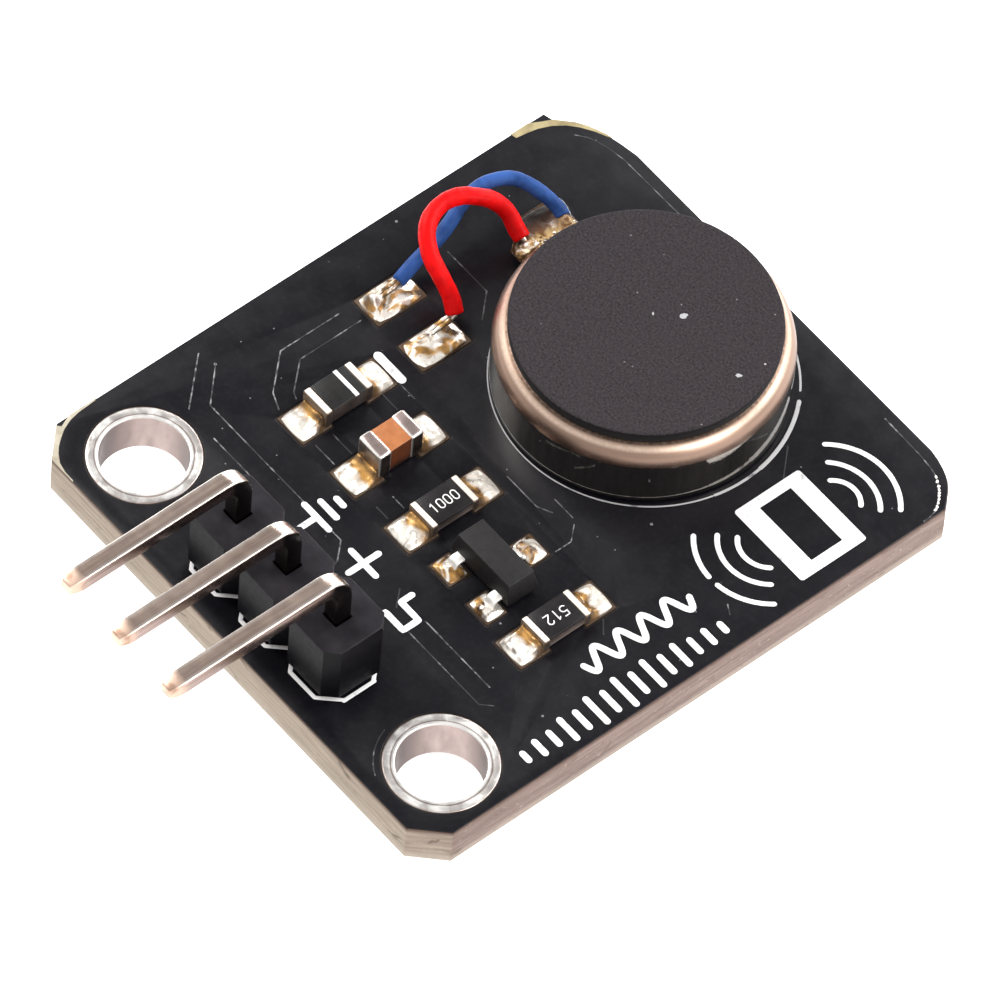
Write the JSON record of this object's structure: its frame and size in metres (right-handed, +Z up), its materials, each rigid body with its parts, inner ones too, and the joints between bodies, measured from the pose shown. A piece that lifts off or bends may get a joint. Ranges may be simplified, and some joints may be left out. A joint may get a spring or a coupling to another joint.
{
  "type": "vibration motor module",
  "caption": "Coin vibration motor glued to a small black circuit board with its driver parts and a right-angle pin header; flexible leads run from the motor's tab to the board.",
  "frame": {"origin": "midway between the two mounting holes, on the underside of the bare board", "axes": "+X along the row of header pins and through both mounting holes, +Y from the header to the motor, +Z up out of the component side, along the mounting holes and the motor's axis"},
  "size_m": [0.0203, 0.028, 0.008],
  "materials": {
    "board_laminate": "cut edge of glass-epoxy laminate, fine glass layers",
    "solder_mask": "black lacquer, satin",
    "tinned_copper": "tin-plated copper, bright with fine waviness",
    "header_plastic": "black moulded plastic, slightly rough",
    "pin_metal": "tin-plated brass, satin",
    "solder": "bright wavy solder, amber flux at its foot",
    "diode_epoxy": "dark moulded epoxy",
    "chip_terminal": "tin-plated end cap, satin",
    "capacitor_ceramic": "tan fired ceramic",
    "resistor_ceramic": "white alumina",
    "resistor_coating": "black glassy coating",
    "transistor_epoxy": "dark moulded epoxy, matte",
    "adhesive": "glue film",
    "can_steel": "nickel-plated deep-drawn steel, polished wall",
    "foam": "dark closed-cell foam, grainy",
    "shaft_steel": "ground steel",
    "magnet": "nickel-plated magnet",
    "flex_film": "translucent amber film",
    "brush_metal": "gold-plated spring alloy",
    "washer_plastic": "smooth plastic film",
    "sintered_bronze": "oil-filled sintered bronze",
    "rotor_resin": "moulded resin",
    "coil_copper": "enamelled copper wire, wound",
    "tungsten": "pressed tungsten alloy",
    "commutator_laminate": "thin laminate",
    "insulation_red": "smooth soft insulation",
    "insulation_blue": "smooth soft insulation"
  },
  "bodies": {
    "board": {"circuit_board": "board_laminate", "solder_mask_top": "solder_mask", "solder_mask_bottom": "solder_mask", "mounting_ring_left": "tinned_copper", "mounting_ring_right": "tinned_copper", "pin_hole_plating": "tinned_copper", "component_pads": "tinned_copper", "header_housing": "header_plastic", "header_pin_ground": "pin_metal", "header_pin_supply": "pin_metal", "header_pin_signal": "pin_metal", "header_solder": "solder", "diode_body": "diode_epoxy", "diode_terminals": "chip_terminal", "diode_solder": "solder", "capacitor_body": "capacitor_ceramic", "capacitor_terminals": "chip_terminal", "capacitor_solder": "solder", "series_resistor_body": "resistor_ceramic", "series_resistor_coating": "resistor_coating", "series_resistor_terminals": "chip_terminal", "series_resistor_solder": "solder", "base_resistor_body": "resistor_ceramic", "base_resistor_coating": "resistor_coating", "base_resistor_terminals": "chip_terminal", "base_resistor_solder": "solder", "transistor_body": "transistor_epoxy", "transistor_leads": "chip_terminal", "transistor_solder": "solder", "motor_adhesive_disc": "adhesive", "motor_base_plate": "can_steel", "motor_can": "can_steel", "motor_foam_pad": "foam", "motor_shaft": "shaft_steel", "ring_magnet": "magnet", "motor_flex_circuit": "flex_film", "brush_positive": "brush_metal", "brush_negative": "brush_metal", "thrust_washer_lower": "washer_plastic", "thrust_washer_upper": "washer_plastic", "motor_lead_red": "insulation_red", "motor_lead_blue": "insulation_blue", "lead_core_red": "tinned_copper", "lead_core_blue": "tinned_copper", "lead_pad_solder": "solder", "tab_solder": "solder"},
    "rotor": {"rotor_bearing": "sintered_bronze", "rotor_frame": "rotor_resin", "rotor_coil_left": "coil_copper", "rotor_coil_right": "coil_copper", "rotor_counterweight": "tungsten", "commutator_disc": "commutator_laminate", "commutator_segments": "brush_metal"}
  },
  "joints": [
    {"name": "rotor_spin", "type": "hinge", "parent": "board", "child": "rotor", "pos_m": [-0.00015, 0.01485, 0.0034], "axis": [0, 0, 1], "continuous": true}
  ]
}
